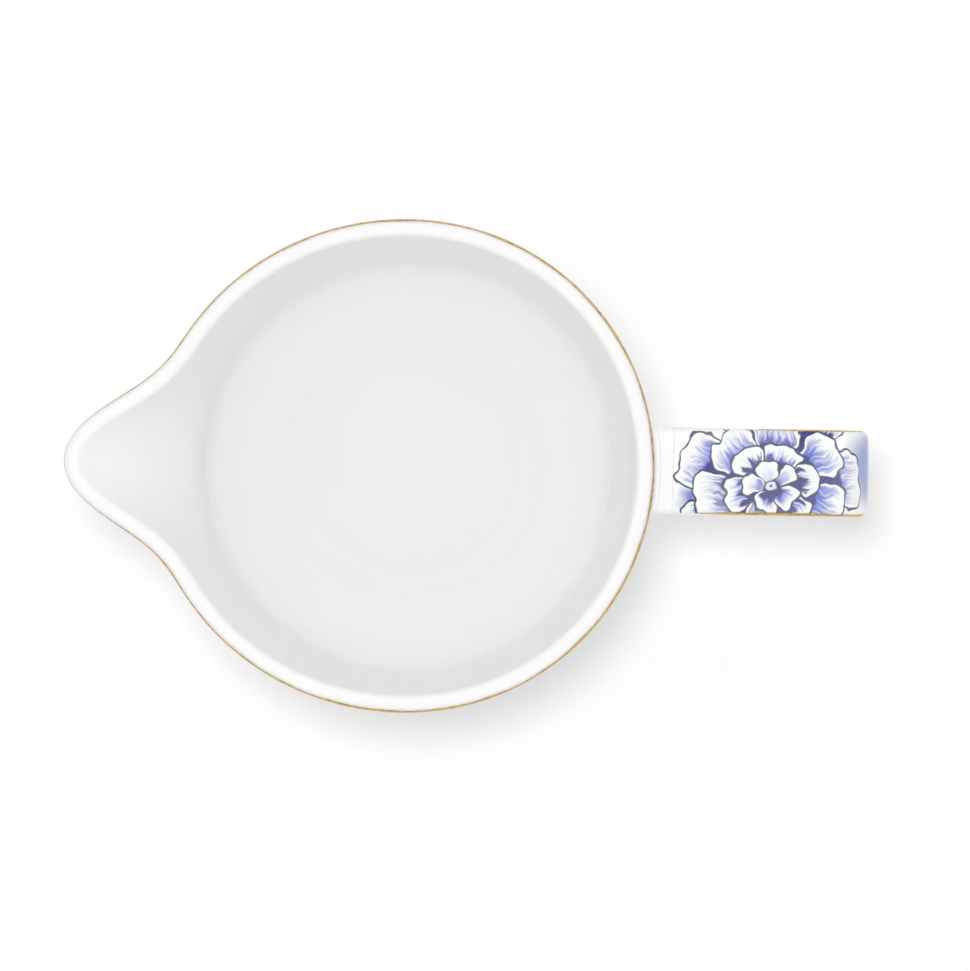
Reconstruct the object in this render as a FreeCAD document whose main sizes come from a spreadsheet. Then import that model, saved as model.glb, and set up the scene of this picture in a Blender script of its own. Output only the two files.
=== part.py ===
import FreeCAD, Part

import math
import os

import Sketcher

# Porcelain cream jug: a slip-cast round vessel with a pouring lip, a turned foot ring left unglazed, a
# strap handle stuck on with slip, a blue transfer print along the strap, and gold lines on the rim and the
# strap.
#
# Frame: millimetres, +Z up, origin at the middle of the foot on the table. The lip points along -X and the
# handle along +X, so XZ is the plane of symmetry.

V = FreeCAD.Vector

# Driving dimensions in millimetres and degrees, one cell of the sheet each.
SIZES = [
    # the round vessel
    ("rim_radius", 42.0, "outside of the rim on the handle's side"),
    ("rim_height", 78.0, "level part of the rim above the table"),
    ("belly_radius", 39.5, "outside, where the bowl turns into the wall"),
    ("belly_height", 38.0, "where the bowl turns into the wall"),
    ("wall", 3.2, "thickness of the bowl and of the wall's lower end"),
    ("rim_wall", 3.0, "thickness of the wall at the rim"),
    ("rim_round", 0.9, "rounding of the rim's two edges"),
    ("floor_thickness", 3.4, "base inside the foot ring"),
    ("floor_cove", 8.0, "rounding between the floor and the bowl inside"),
    # the foot
    ("foot_radius", 22.5, "outside of the foot where it stands"),
    ("foot_flare", 0.6, "how much wider the foot is where the bowl starts"),
    ("foot_height", 3.0, "table to the start of the bowl"),
    ("ring_height", 1.8, "unglazed ring, from the table to the base"),
    ("ring_width", 3.0, "across the ring"),
    ("ring_round", 0.5, "rounding of the ring's two standing edges"),
    # the pouring lip
    ("lip_reach", 14.6, "the lip beyond the swollen rim"),
    ("lip_half_angle", 39.0, "half the angle that the lip takes up"),
    ("swell_reach", 2.9, "swelling of the rim towards the lip"),
    ("swell_half_angle", 98.0, "half the angle that the swelling takes up"),
    ("lip_start", 6.0, "belly up to where the lip starts to lean out"),
    ("lip_rise", 3.0, "the lip's tip above the level part of the rim"),
    ("rise_start", 20.0, "distance from the axis where the rim starts to rise"),
    # the strap handle
    ("strap_width", 14.8, "across the strap"),
    ("strap_thickness", 4.2, "through the strap"),
    ("strap_edge", 1.6, "rounding of the strap's long edges"),
    ("handle_reach", 36.6, "the strap's outer face beyond the rim's radius"),
    ("handle_drop", 8.6, "rim down to the middle of the strap's upper run"),
    ("bend_radius", 5.4, "upper bend at the strap's middle"),
    ("lean", 13.0, "lean of the down run from upright"),
    ("sweep_radius", 17.0, "lower bend at the strap's middle"),
    ("tail_slope", 12.0, "slope of the strap's lower end from level"),
    ("tail_height", 23.2, "strap's middle carried on inwards to the foot's radius"),
    ("luting_fillet", 1.8, "fillet of slip round each end of the strap"),
    # the decoration
    ("rim_gold", 0.72, "the gold's width and depth on the rim's outer edge"),
    ("strap_gold", 0.30, "radius of the gold beads on the strap's edges"),
    ("gold_proud", 0.08, "how far the strap's gold stands out of the porcelain"),
    ("gold_angle", 50.0, "place of the strap's gold round its rounded edge"),
    ("print_film", 0.10, "thickness of the printed film"),
    ("bare_gap", 3.0, "bare porcelain between the rim and the start of the strap's decoration"),
    ("tail_gap", 6.0, "bare porcelain between the belly and the end of the strap's decoration"),
]

LIP_POWER = 6  # how sharply the lip's outline falls off to its sides
DEPTH_POWER = 1.8  # how quickly the lip dies away below the rim
CURVE_POINTS = 72  # points of one closed curve round the wall
LOFT_STEPS = 7  # level sections between the start of the lip and the blank's top
BLANK = 4.0  # blank wall above the lip's tip, cut off along the rim line
THIN_EDGE = 0.06  # thickness at which the slip's feathered edge ends
FILLET_TURNS = (25, 50, 75)  # degrees round the slip's fillet at which it is sectioned
BOX_SLACK = 0.5  # how far a curve's bounding box may reach below the curve

doc = FreeCAD.newDocument("cream_jug")
sheet = doc.addObject("Spreadsheet::Sheet", "sizes")
for row, (alias, value, note) in enumerate(SIZES, 1):
    sheet.set(f"A{row}", alias)
    sheet.set(f"B{row}", str(value))
    sheet.set(f"C{row}", note)
    sheet.setAlias(f"B{row}", alias)
doc.recompute()


def worked_out(expression):
    return float(sheet.evalExpression(expression))


def size(alias):
    return float(getattr(sheet, alias))


# The vessel's shape as formulas of the sheet's cells


def tip_height():
    return size("rim_height") + size("lip_rise")


def arc_radius(rise, out):
    """Radius of an arc that ends upright and covers this height and width."""
    return (rise**2 + out**2) / (2 * out)


def bowl_radius():
    rise = size("belly_height") - size("foot_height")
    return arc_radius(rise, size("belly_radius") - size("foot_radius") - size("foot_flare"))


def round_wall(z):
    """Outside radius of the wall above the belly, before the lip is pulled out of it."""
    rise = size("rim_height") - size("belly_height")
    arc = arc_radius(rise, size("rim_radius") - size("belly_radius"))
    return size("belly_radius") + arc - math.sqrt(arc**2 - (z - size("belly_height")) ** 2)


def lip_share(z):
    """0 at and below the lip's start, 1 at the height of its tip."""
    start = size("belly_height") + size("lip_start")
    return max(0.0, (z - start) / (tip_height() - start)) ** DEPTH_POWER


def full_lip(turn):
    """How far the lip and the swelling stand out at an angle from the lip, at the tip's height."""
    swell_turn = min(1.0, abs(turn) / size("swell_half_angle"))
    lip_turn = min(1.0, abs(turn) / size("lip_half_angle"))
    swell = size("swell_reach") * math.cos(math.pi / 2 * swell_turn) ** 2
    return swell + size("lip_reach") * math.cos(math.pi / 2 * lip_turn) ** LIP_POWER


def outside(turn, z):
    return round_wall(z) + full_lip(turn) * lip_share(z)


def wall_lean(turn, z):
    """Outward run of the wall for each millimetre of rise."""
    step = 0.05
    return (outside(turn, z + step) - outside(turn, z - step)) / (2 * step)


def inside(turn, z):
    """Inside radius, which keeps the wall's thickness where the wall leans out."""
    share = (z - size("belly_height")) / (tip_height() - size("belly_height"))
    thickness = size("wall") + (size("rim_wall") - size("wall")) * min(1.0, share)
    return outside(turn, z) - thickness * math.sqrt(1 + wall_lean(turn, z) ** 2)


def rim_line(x):
    """Height of the rim at a place along X; it rises on an arc towards the lip's tip."""
    run = size("rim_radius") + size("swell_reach") + size("lip_reach") - size("rise_start")
    arc = arc_radius(run, size("lip_rise"))
    along = max(0.0, -x - size("rise_start"))
    return size("rim_height") + arc - math.sqrt(arc**2 - along**2)


def round_points(radius_at, height_at):
    """Points once round the axis, starting at +Y so that no seam crosses the lip or the handle."""
    points = []
    for i in range(CURVE_POINTS):
        turn = 90 - 360 * i / CURVE_POINTS
        turn = turn + 360 if turn <= -180 else turn
        angle = math.radians(180 - turn)
        radius = radius_at(turn)
        x = radius * math.cos(angle)
        points.append(V(x, radius * math.sin(angle), height_at(x)))
    return points


def closed_curve(points):
    curve = Part.BSplineCurve()
    curve.interpolate(Points=points, PeriodicFlag=True)
    return curve


# Sketches and bodies


def new_body(name):
    body = doc.addObject("PartDesign::Body", name)
    doc.recompute()
    return body


def new_sketch(body, name, role, offset="0"):
    """A sketch on one of the body's own planes, with an expression for its distance along the normal."""
    sketch = body.newObject("Sketcher::SketchObject", name)
    plane = next(feature for feature in body.Origin.OriginFeatures if feature.Role == role)
    sketch.AttachmentSupport = [(plane, "")]
    sketch.MapMode = "FlatFace"
    sketch.setExpression(".AttachmentOffset.Base.z", offset)
    return sketch


def add_size(sketch, constraint, name, expression):
    sketch.addConstraint(constraint)
    sketch.renameConstraint(sketch.ConstraintCount - 1, name)
    sketch.setExpression(f"Constraints.{name}", expression)


def place_point(sketch, edge, end, x, y, name):
    """Ties a point of an edge to expressions for its two coordinates; None leaves one of them free."""
    point = sketch.getPoint(edge, end)
    for kind, value, expression in (("DistanceX", point.x, x), ("DistanceY", point.y, y)):
        if expression is not None:
            constraint = Sketcher.Constraint(kind, -1, 1, edge, end, value)
            add_size(sketch, constraint, f"{name}_{kind[-1]}", expression)


def arc_between(first, last, centre):
    """The shorter arc between two points about a centre."""
    a, b = (math.atan2(p.y - centre.y, p.x - centre.x) for p in (first, last))
    if (b - a) % (2 * math.pi) > math.pi:
        a, b = b, a
    return Part.ArcOfCircle(Part.Circle(centre, V(0, 0, 1), (first - centre).Length), a, b)


def draw_chain(sketch, points, centres, closed=True, smooth=()):
    """Lines and arcs from point to point, joined up. centres gives the centre of each side that is an arc,
    smooth the sides that run on into the next one. Returns which end of each side is its start."""
    sides = len(points) if closed else len(points) - 1
    starts = []
    for i in range(sides):
        first, last = points[i], points[(i + 1) % len(points)]
        if i in centres:
            edge = arc_between(first, last, centres[i])
        else:
            edge = Part.LineSegment(first, last)
        sketch.addGeometry(edge, False)
        starts.append(1 if edge.StartPoint.isEqual(first, 1e-6) else 2)
    joints = sides if closed else sides - 1
    for i in range(joints):
        kind = "Tangent" if i in smooth else "Coincident"
        after = (i + 1) % sides
        sketch.addConstraint(Sketcher.Constraint(kind, i, 3 - starts[i], after, starts[after]))
    return starts


def revolve(body, sketch, name):
    doc.recompute()
    turned = body.newObject("PartDesign::Revolution", name)
    turned.Profile = sketch
    turned.ReferenceAxis = (sketch, ["V_Axis"])
    turned.Angle = 360
    doc.recompute()


def boolean(kind, name, base, tool):
    result = doc.addObject(kind, name)
    result.Base = base
    result.Tool = tool
    doc.recompute()
    return result


# The vessel: an outer form and a cavity, each a turned bowl with a lofted wall on top


def loft_wall(body, name, radius_at):
    """A wall through level sections, from the belly to the top of the blank."""
    lip_start = "(sizes.belly_height + sizes.lip_start)"
    top = f"(sizes.rim_height + sizes.lip_rise + {BLANK})"
    levels = ["sizes.belly_height", "sizes.belly_height + sizes.lip_start / 2"]
    for i in range(LOFT_STEPS + 1):
        levels.append(f"{lip_start} + ({top} - {lip_start}) * {i} / {LOFT_STEPS}")
    sections = []
    for i, level in enumerate(levels):
        sketch = new_sketch(body, f"{name}_section{i}", "XY_Plane", level)
        doc.recompute()
        z = sketch.AttachmentOffset.Base.z
        points = round_points(lambda turn: radius_at(turn, z), lambda x: 0)
        sketch.addGeometry(closed_curve(points), False)
        sections.append(sketch)
    doc.recompute()
    loft = body.newObject("PartDesign::AdditiveLoft", name)
    loft.Profile = sections[0]
    loft.Sections = sections[1:]
    doc.recompute()


def make_outer_form():
    """The vessel above its foot ring, as a solid without a cavity."""
    body = new_body("outer_form")
    belly = V(size("belly_radius"), size("belly_height"), 0)
    base, foot = size("ring_height"), size("foot_radius")
    flare = size("foot_flare")
    corners = [
        V(0, base, 0),
        V(foot + flare * base / size("foot_height"), base, 0),
        V(foot + flare, size("foot_height"), 0),
        belly,
        V(0, belly.y, 0),
    ]
    sketch = new_sketch(body, "outer_profile", "YZ_Plane")
    starts = draw_chain(sketch, corners, {2: V(belly.x - bowl_radius(), belly.y, 0)})
    wide = "sizes.foot_radius + sizes.foot_flare"
    low = "sizes.foot_radius + sizes.foot_flare * sizes.ring_height / sizes.foot_height"
    place_point(sketch, 0, starts[0], "0", "sizes.ring_height", "base")
    place_point(sketch, 1, starts[1], low, "sizes.ring_height", "foot")
    place_point(sketch, 2, starts[2], wide, "sizes.foot_height", "bowl")
    place_point(sketch, 3, starts[3], "sizes.belly_radius", "sizes.belly_height", "belly")
    place_point(sketch, 4, starts[4], "0", "sizes.belly_height", "top")
    place_point(sketch, 2, 3, None, "sizes.belly_height", "bowl_centre")
    revolve(body, sketch, "outer_bowl")
    loft_wall(body, "outer_wall", outside)
    return body


def make_cavity():
    """The hollow of the vessel, as a solid to cut away."""
    body = new_body("cavity")
    floor = size("ring_height") + size("floor_thickness")
    bowl, cove = bowl_radius() - size("wall"), size("floor_cove")
    centre = V(size("belly_radius") - bowl_radius(), size("belly_height"), 0)
    cove_rise = floor + cove - centre.y
    cove_centre = centre + V(math.sqrt((bowl - cove) ** 2 - cove_rise**2), cove_rise, 0)
    touch = centre + (cove_centre - centre).normalize() * bowl
    belly = V(centre.x + bowl, centre.y, 0)
    corners = [V(0, floor, 0), V(cove_centre.x, floor, 0), touch, belly, V(0, belly.y, 0)]
    sketch = new_sketch(body, "cavity_profile", "YZ_Plane")
    starts = draw_chain(sketch, corners, {1: cove_centre, 2: centre}, smooth=(0, 1))
    place_point(sketch, 0, starts[0], "0", "sizes.ring_height + sizes.floor_thickness", "floor")
    place_point(sketch, 1, starts[1], None, "sizes.ring_height + sizes.floor_thickness", "cove")
    place_point(sketch, 3, starts[3], "sizes.belly_radius - sizes.wall", "sizes.belly_height", "belly")
    place_point(sketch, 4, starts[4], "0", "sizes.belly_height", "top")
    place_point(sketch, 2, 3, None, "sizes.belly_height", "bowl_centre")
    rise = "(sizes.belly_height - sizes.foot_height)"
    out = "(sizes.belly_radius - sizes.foot_radius - sizes.foot_flare)"
    arc = f"({rise} * {rise} + {out} * {out}) / (2 * {out}) - sizes.wall"
    add_size(sketch, Sketcher.Constraint("Radius", 2, bowl), "bowl_arc", arc)
    add_size(sketch, Sketcher.Constraint("Radius", 1, cove), "cove_arc", "sizes.floor_cove")
    revolve(body, sketch, "cavity_bowl")
    loft_wall(body, "cavity_wall", inside)
    return body


def make_rim_trim(name, drop="0"):
    """Everything above the rim line, which is level at the back and rises on an arc to the lip's tip.
    drop is an expression for how far below that line the block starts."""
    body = new_body(name)
    level, far = worked_out(f"sizes.rim_height - {drop}"), 2 * size("rim_radius")
    start = -size("rise_start")
    run = size("rim_radius") + size("swell_reach") + size("lip_reach") - size("rise_start")
    arc = arc_radius(run, size("lip_rise"))
    end = -far
    corners = [
        V(far, level, 0),
        V(start, level, 0),
        V(end, rim_line(end) + level - size("rim_height"), 0),
        V(end, 2 * level, 0),
        V(far, 2 * level, 0),
    ]
    sketch = new_sketch(body, f"{name}_side_view", "XZ_Plane")
    starts = draw_chain(sketch, corners, {1: V(start, level + arc, 0)})
    run = "(sizes.rim_radius + sizes.swell_reach + sizes.lip_reach - sizes.rise_start)"
    radius = f"({run} * {run} + sizes.lip_rise * sizes.lip_rise) / (2 * sizes.lip_rise)"
    place_point(sketch, 0, starts[0], "2 * sizes.rim_radius", f"sizes.rim_height - {drop}", "back")
    place_point(sketch, 1, starts[1], "-sizes.rise_start", f"sizes.rim_height - {drop}", "rise")
    place_point(sketch, 2, starts[2], "-2 * sizes.rim_radius", None, "front")
    place_point(sketch, 3, starts[3], "-2 * sizes.rim_radius", "2 * sizes.rim_height", "front_top")
    place_point(sketch, 4, starts[4], "2 * sizes.rim_radius", "2 * sizes.rim_height", "back_top")
    place_point(sketch, 1, 3, "-sizes.rise_start", None, "arc_centre")
    add_size(sketch, Sketcher.Constraint("Radius", 1, arc), "rise_arc", radius)
    doc.recompute()
    pad = body.newObject("PartDesign::Pad", f"{name}_pad")
    pad.Profile = sketch
    pad.Midplane = True
    pad.setExpression("Length", "4 * sizes.rim_radius")
    doc.recompute()
    return body


def make_gold_zone():
    """The space of the rim's gold: above a line a little below the rim, and outside all but the edge."""
    above = make_rim_trim("gold_trim", "sizes.rim_gold")
    core = new_body("rim_core")
    sketch = new_sketch(core, "rim_core_outline", "XY_Plane")

    def radius_at(turn):
        z = size("rim_height")
        for _ in range(4):
            z = rim_line(-outside(turn, z) * math.cos(math.radians(turn)))
        # Rounding takes more off the sharper edge where the wall leans out.
        lean = wall_lean(turn, z)
        rounded_off = size("rim_round") * (lean + math.sqrt(1 + lean**2) - 1)
        return outside(turn, z) - rounded_off - size("rim_gold")

    sketch.addGeometry(closed_curve(round_points(radius_at, lambda x: 0)), False)
    doc.recompute()
    pad = core.newObject("PartDesign::Pad", "rim_core_pad")
    pad.Profile = sketch
    pad.setExpression("Length", "3 * sizes.rim_height")
    doc.recompute()
    return boolean("Part::Cut", "gold_zone", above, core)


# The strap handle, its gold lines and its print


def add_path(body, name, start, end, outwards="0", sideways="0"):
    """The strap's side view as a line: out from the vessel, round the bend, down, and back in.
    start and end are its limits along X; outwards and sideways move it off the strap's middle. All four
    are expressions."""
    sketch = new_sketch(body, name, "XZ_Plane", f"-({sideways})")
    lean, slope = math.radians(size("lean")), math.radians(size("tail_slope"))
    bend, sweep = size("bend_radius"), size("sweep_radius")
    top = size("rim_height") - size("handle_drop")
    bend_x = size("rim_radius") + size("handle_reach") - size("strap_thickness") / 2 - bend
    bend_centre = V(bend_x, top - bend, 0)
    face_out, down = V(math.cos(lean), -math.sin(lean), 0), V(-math.sin(lean), -math.cos(lean), 0)
    face_under, back = V(math.sin(slope), -math.cos(slope), 0), V(-math.cos(slope), -math.sin(slope), 0)
    # The down run is as long as it takes for the tail to reach its height at the foot's radius.
    no_run = bend_centre + face_out * (bend - sweep) + face_under * sweep
    goal = V(size("foot_radius"), size("tail_height"), 0) - no_run
    run = goal.cross(back).z / down.cross(back).z
    sweep_centre = bend_centre + face_out * (bend - sweep) + down * run
    tail_start = sweep_centre + face_under * sweep
    points = [
        V(size("foot_radius"), top, 0),
        V(bend_x, top, 0),
        bend_centre + face_out * bend,
        bend_centre + face_out * bend + down * run,
        tail_start,
        V(size("foot_radius"), size("tail_height"), 0),
    ]
    starts = draw_chain(sketch, points, {1: bend_centre, 3: sweep_centre}, closed=False, smooth=range(4))
    level = f"sizes.rim_height - sizes.handle_drop + {outwards}"
    bend_place = "sizes.rim_radius + sizes.handle_reach - sizes.strap_thickness / 2 - sizes.bend_radius"
    slope = "(sizes.tail_slope * 1 deg)"
    end_drop = f"({end} - sizes.foot_radius) * tan{slope} - ({outwards}) / cos{slope}"
    place_point(sketch, 0, starts[0], start, level, "start")
    place_point(sketch, 1, starts[1], None, level, "bend")
    place_point(sketch, 1, 3, bend_place, None, "bend_centre")
    place_point(sketch, 4, 3 - starts[4], end, f"sizes.tail_height + {end_drop}", "end")
    for edge, radius, name in ((1, bend, "bend"), (3, sweep, "sweep")):
        arc = Sketcher.Constraint("Radius", edge, radius)
        add_size(sketch, arc, f"{name}_arc", f"sizes.{name}_radius + {outwards}")
    run_angle = Sketcher.Constraint("Angle", 2, math.atan2(down.y, down.x))
    add_size(sketch, run_angle, "run_angle", "-(90 + sizes.lean) * 1 deg")
    tail_angle = Sketcher.Constraint("Angle", 4, math.atan2(back.y, back.x))
    add_size(sketch, tail_angle, "tail_angle", "-(180 - sizes.tail_slope) * 1 deg")
    doc.recompute()
    return sketch


def sweep_along(body, profile, path, name):
    doc.recompute()
    pipe = body.newObject("PartDesign::AdditivePipe", name)
    pipe.Profile = profile
    pipe.Spine = (path, [f"Edge{i + 1}" for i in range(path.GeometryCount)])
    doc.recompute()


def draw_bar(sketch, half_width, middle, half_height, rounding=None):
    """A bar's cross-section between expressions for its sides, with its four corners rounded if asked."""
    left, right = f"-({half_width})", f"({half_width})"
    low, high = f"({middle}) - ({half_height})", f"({middle}) + ({half_height})"
    if rounding is None:
        places = [(left, low), (right, low), (right, high), (left, high)]
        centres = {}
    else:
        # Sides alternate with quarter arcs, counter-clockwise from the lower side.
        near, far = f"{left} + ({rounding})", f"{right} - ({rounding})"
        under, over = f"{low} + ({rounding})", f"{high} - ({rounding})"
        places = [(near, low), (far, low), (right, under), (right, over)]
        places += [(far, high), (near, high), (left, over), (left, under)]
        centres = {1: (far, under), 3: (far, over), 5: (near, over), 7: (near, under)}
    points = [V(worked_out(x), worked_out(y), 0) for x, y in places]
    middles = {i: V(worked_out(x), worked_out(y), 0) for i, (x, y) in centres.items()}
    starts = draw_chain(sketch, points, middles)
    for i, (x, y) in enumerate(places):
        place_point(sketch, i, starts[i], x, y, f"corner{i}")
    for i in centres:
        radius = Sketcher.Constraint("Radius", i, sketch.Geometry[i].Radius)
        add_size(sketch, radius, f"rounding{i}", rounding)


def make_strap():
    """The whole strap with both ends still running on into the vessel."""
    body = new_body("strap")
    path = add_path(body, "strap_path", "sizes.foot_radius", "sizes.foot_radius")
    profile = new_sketch(body, "strap_profile", "YZ_Plane", "sizes.foot_radius")
    middle = "sizes.rim_height - sizes.handle_drop"
    draw_bar(profile, "sizes.strap_width / 2", middle, "sizes.strap_thickness / 2", "sizes.strap_edge")
    sweep_along(body, profile, path, "strap_pipe")
    return body


def make_strap_gold(name, side):
    """A round bead set into one rounded edge of the strap's outer face; side is +1 or -1 along Y."""
    body = new_body(name)
    reach = "(sizes.strap_edge - sizes.strap_gold + sizes.gold_proud)"
    angle = "(sizes.gold_angle * 1 deg)"
    sideways = f"{side} * (sizes.strap_width / 2 - sizes.strap_edge + {reach} * cos{angle})"
    outwards = f"(sizes.strap_thickness / 2 - sizes.strap_edge + {reach} * sin{angle})"
    start = "sizes.rim_radius + sizes.bare_gap"
    end = "sizes.belly_radius + sizes.tail_gap"
    path = add_path(body, f"{name}_path", start, end, outwards, sideways)
    profile = new_sketch(body, f"{name}_profile", "YZ_Plane", start)
    profile.addGeometry(Part.Circle(V(0, 0, 0), V(0, 0, 1), 1), False)
    place_point(profile, 0, 3, sideways, f"sizes.rim_height - sizes.handle_drop + {outwards}", "middle")
    add_size(profile, Sketcher.Constraint("Radius", 0, 1), "bead", "sizes.strap_gold")
    sweep_along(body, profile, path, f"{name}_pipe")
    return body


def make_print():
    """The film of printed colour on the flat of the strap's outer face."""
    body = new_body("print_film")
    outwards = "(sizes.strap_thickness / 2 + sizes.print_film / 2)"
    start = "sizes.rim_radius + sizes.bare_gap"
    path = add_path(body, "print_path", start, "sizes.belly_radius + sizes.tail_gap", outwards)
    profile = new_sketch(body, "print_profile", "YZ_Plane", start)
    middle = f"sizes.rim_height - sizes.handle_drop + {outwards}"
    draw_bar(profile, "sizes.strap_width / 2 - sizes.strap_edge", middle, "sizes.print_film / 2")
    sweep_along(body, profile, path, "print_pipe")
    return body


def outer_radius(z):
    """Outside radius on the handle's side at a height above the foot."""
    if z > size("belly_height"):
        return round_wall(z)
    arc = bowl_radius()
    return size("belly_radius") - arc + math.sqrt(arc**2 - (size("belly_height") - z) ** 2)


def fillet_offset(distance):
    """How far a fillet of slip stands off the strap at a distance from the vessel's wall."""
    radius = size("luting_fillet")
    rest = radius - max(0.0, distance)
    return max(THIN_EDGE, radius - math.sqrt(radius**2 - max(0.0, rest) ** 2))


def make_luting(name, strap, outer, height_at, slope):
    """A ring of slip in the corner between the strap and the vessel. height_at gives the height of the
    strap's middle at a place along X, and slope is its fall from level in degrees."""
    fillet, half_width = size("luting_fillet"), size("strap_width") / 2
    wall_x = size("belly_radius")
    for _ in range(5):
        wall_x = outer_radius(height_at(wall_x))
    # The round wall falls away from the middle of the strap towards its sides.
    fall = wall_x - math.sqrt(wall_x**2 - (half_width + fillet / 2) ** 2)
    places = [-fall - fillet, -fall, -fall / 2, 0]
    places += [fillet * (1 - math.cos(math.radians(turn))) for turn in FILLET_TURNS]
    body = new_body(f"{name}_blank")
    sections = []
    for i, place in enumerate(places):
        x = wall_x + place
        section = new_sketch(body, f"{name}_section{i}", "YZ_Plane", f"{x}")
        side, above = fillet_offset(place + fall), fillet_offset(place)
        half_height = f"(sizes.strap_thickness / 2 + {above}) / cos({slope} * 1 deg)"
        draw_bar(section, f"sizes.strap_width / 2 + {side}", f"{height_at(x)}", half_height,
                 f"sizes.strap_edge + {side}")
        sections.append(section)
    doc.recompute()
    loft = body.newObject("PartDesign::AdditiveLoft", f"{name}_loft")
    loft.Profile = sections[0]
    loft.Sections = sections[1:]
    loft.Ruled = True
    doc.recompute()
    round_strap = boolean("Part::Cut", f"{name}_round_strap", body, strap)
    return boolean("Part::Cut", f"{name}_slip", round_strap, outer)


def make_lutings(strap, outer):
    top = size("rim_height") - size("handle_drop")
    fall = math.tan(math.radians(size("tail_slope")))
    tail = lambda x: size("tail_height") + (x - size("foot_radius")) * fall
    upper = make_luting("upper", strap, outer, lambda x: top, 0)
    return upper, make_luting("lower", strap, outer, tail, size("tail_slope"))


# The unglazed foot ring


def make_foot_ring():
    body = new_body("ring")
    profile = new_sketch(body, "ring_profile", "YZ_Plane")
    outer, inner = size("foot_radius"), size("foot_radius") - size("ring_width")
    height = size("ring_height")
    wide = outer + size("foot_flare") * height / size("foot_height")
    corners = [V(inner, 0, 0), V(outer, 0, 0), V(wide, height, 0), V(inner, height, 0)]
    starts = draw_chain(profile, corners, {})
    wide = "sizes.foot_radius + sizes.foot_flare * sizes.ring_height / sizes.foot_height"
    place_point(profile, 0, starts[0], "sizes.foot_radius - sizes.ring_width", "0", "inner")
    place_point(profile, 1, starts[1], "sizes.foot_radius", "0", "outer")
    place_point(profile, 2, starts[2], wide, "sizes.ring_height", "wide")
    place_point(profile, 3, starts[3], "sizes.foot_radius - sizes.ring_width", "sizes.ring_height", "top")
    revolve(body, profile, "ring_turned")
    turned = body.Tip
    standing = [
        f"Edge{number}"
        for number, edge in enumerate(turned.Shape.Edges, 1)
        if edge.Closed and edge.BoundBox.ZMax < 1e-3
    ]
    fillet = body.newObject("PartDesign::Fillet", "ring_rounding")
    fillet.Base = (turned, standing)
    fillet.setExpression("Radius", "sizes.ring_round")
    doc.recompute()
    return body


# Putting the jug together


def round_rim(shell):
    """The vessel with the two edges of its rim rounded."""
    low = size("rim_height") - BOX_SLACK
    rim_edges = [
        number
        for number, edge in enumerate(shell.Shape.Edges, 1)
        if edge.BoundBox.ZMin > low and edge.Length > 2 * size("rim_wall")
    ]
    rim = doc.addObject("Part::Fillet", "rounded_rim")
    rim.Base = shell
    rim.Edges = [(number, size("rim_round"), size("rim_round")) for number in rim_edges]
    doc.recompute()
    return rim


def make_nodes():
    outer = make_outer_form()
    hollow = boolean("Part::Cut", "hollow", outer, make_cavity())
    rim = round_rim(boolean("Part::Cut", "cut_to_rim", hollow, make_rim_trim("rim_trim")))
    gold_zone = make_gold_zone()
    strap = make_strap()
    upper, lower = make_lutings(strap, outer)
    left, right = make_strap_gold("strap_gold_left", 1), make_strap_gold("strap_gold_right", -1)
    trimmed = boolean("Part::Cut", "trimmed_strap", strap, outer)
    grooved = boolean("Part::Cut", "grooved_strap", trimmed, left)
    return {
        "jug_body": boolean("Part::Cut", "vessel", rim, gold_zone),
        "foot_ring": make_foot_ring(),
        "handle": boolean("Part::Cut", "finished_strap", grooved, right),
        "upper_luting": upper,
        "lower_luting": lower,
        "rim_gilding": boolean("Part::Common", "rim_gold", rim, gold_zone),
        "handle_gilding_left": left,
        "handle_gilding_right": right,
        "handle_print": make_print(),
    }


def write_nodes(nodes):
    """Checks every object, then writes one file for each sub-component."""
    doc.recompute()
    broken = [item.Name for item in doc.Objects if {"Invalid", "Error"} & set(item.State)]
    if broken:
        raise RuntimeError(f"objects that did not recompute: {broken}")
    for label, node in nodes.items():
        node.Label = label
        if node.Shape.isNull() or not node.Shape.isValid() or not node.Shape.Solids:
            raise RuntimeError(f"{label} has no valid solid")
    os.makedirs("parts", exist_ok=True)
    for label, node in nodes.items():
        node.Shape.exportStep(f"parts/{label}.step")


write_nodes(make_nodes())
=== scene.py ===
import math

import bpy
import numpy as np
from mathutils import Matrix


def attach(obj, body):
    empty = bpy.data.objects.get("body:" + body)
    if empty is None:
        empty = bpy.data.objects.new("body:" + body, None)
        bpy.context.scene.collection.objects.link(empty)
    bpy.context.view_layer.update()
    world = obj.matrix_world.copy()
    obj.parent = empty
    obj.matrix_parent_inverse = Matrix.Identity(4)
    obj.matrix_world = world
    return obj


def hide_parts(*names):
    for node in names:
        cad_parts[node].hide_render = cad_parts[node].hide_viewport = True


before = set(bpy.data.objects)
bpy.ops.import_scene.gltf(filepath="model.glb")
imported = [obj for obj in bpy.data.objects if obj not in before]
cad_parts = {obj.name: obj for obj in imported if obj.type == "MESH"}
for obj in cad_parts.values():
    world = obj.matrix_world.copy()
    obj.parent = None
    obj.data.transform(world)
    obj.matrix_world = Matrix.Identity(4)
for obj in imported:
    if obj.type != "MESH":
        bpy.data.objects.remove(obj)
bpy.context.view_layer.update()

# ---------------------------------------------------------------------------------------------------
# The vessel. White porcelain slip cast in a plaster mould, with a pouring lip pulled out of the wall,
# a round bowl and a turned foot, dipped in a clear gloss glaze. +Z is up and the lip points along -X.
# ---------------------------------------------------------------------------------------------------
MM = 0.001
RIM_RADIUS, RIM_HEIGHT = 42.0 * MM, 78.0 * MM
BELLY_RADIUS, BELLY_HEIGHT = 39.5 * MM, 38.0 * MM
WALL, RIM_WALL, FLOOR = 3.2 * MM, 3.0 * MM, 3.4 * MM
FOOT_RADIUS, FOOT_FLARE, FOOT_HEIGHT = 22.5 * MM, 0.6 * MM, 3.0 * MM
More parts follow.
